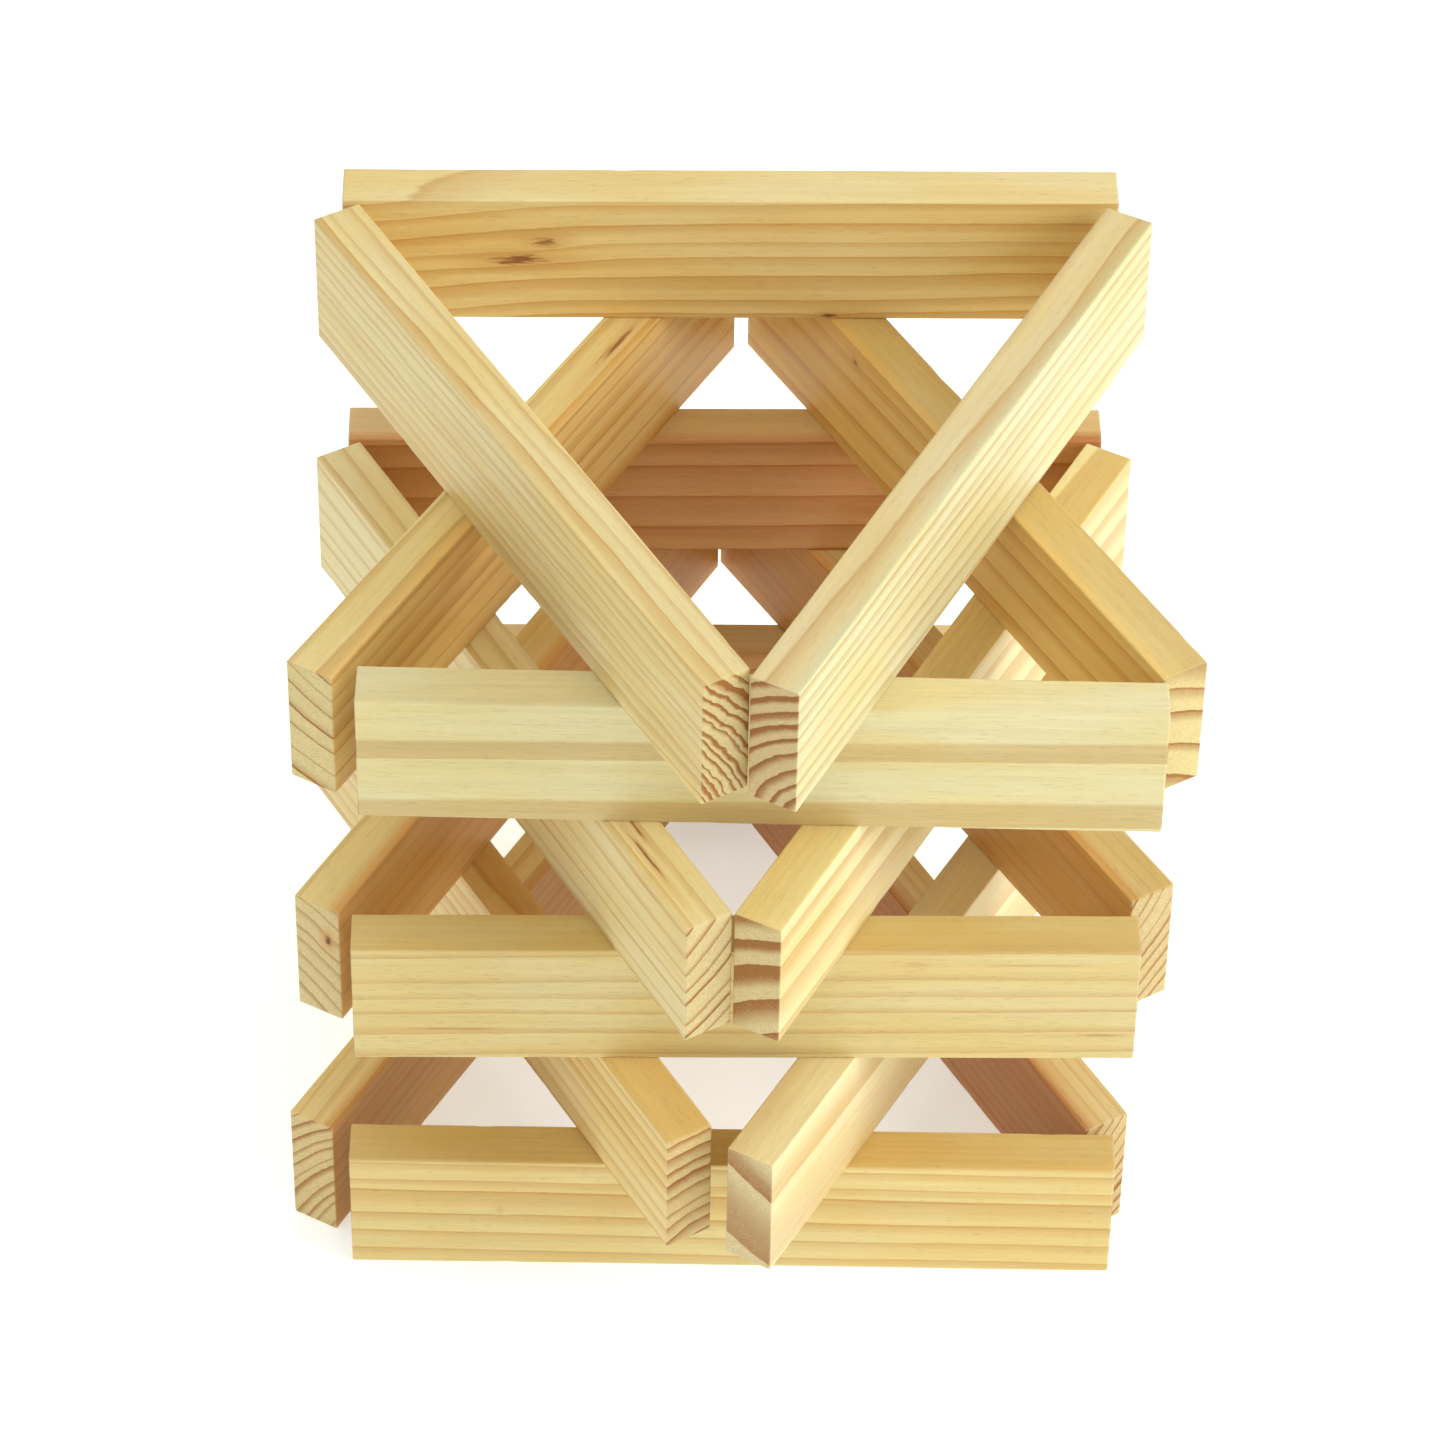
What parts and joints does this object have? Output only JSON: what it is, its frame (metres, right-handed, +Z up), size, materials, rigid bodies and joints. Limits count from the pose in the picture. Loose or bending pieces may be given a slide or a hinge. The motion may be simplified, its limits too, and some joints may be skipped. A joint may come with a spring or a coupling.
{
  "type": "wine rack",
  "caption": "Free-standing wine rack: pine battens stacked on edge in open triangles that face front and back in turn, pinned by hidden dowels, with bottle slots between them.",
  "frame": {"origin": "on the floor, at the centre of the footprint's bounding box", "axes": "+Z up, +Y towards the back, where the top tier's straight batten is, +X to the right seen from the front"},
  "size_m": [0.4716, 0.4776, 0.48],
  "materials": {
    "pine": "planed pine, unvarnished or with a thin clear matt finish",
    "dowel_beech": "plain turned beech"
  },
  "bodies": {
    "root": {"tier_1_back_batten": "pine", "tier_1_left_batten": "pine", "tier_1_right_batten": "pine", "tier_2_front_batten": "pine", "tier_2_left_batten": "pine", "tier_2_right_batten": "pine", "tier_3_back_batten": "pine", "tier_3_left_batten": "pine", "tier_3_right_batten": "pine", "tier_4_front_batten": "pine", "tier_4_left_batten": "pine", "tier_4_right_batten": "pine", "tier_5_back_batten": "pine", "tier_5_left_batten": "pine", "tier_5_right_batten": "pine", "tier_6_front_batten": "pine", "tier_6_left_batten": "pine", "tier_6_right_batten": "pine", "dowels_tier_1_to_2": "dowel_beech", "dowels_tier_2_to_3": "dowel_beech", "dowels_tier_3_to_4": "dowel_beech", "dowels_tier_4_to_5": "dowel_beech", "dowels_tier_5_to_6": "dowel_beech"}
  },
  "joints": []
}
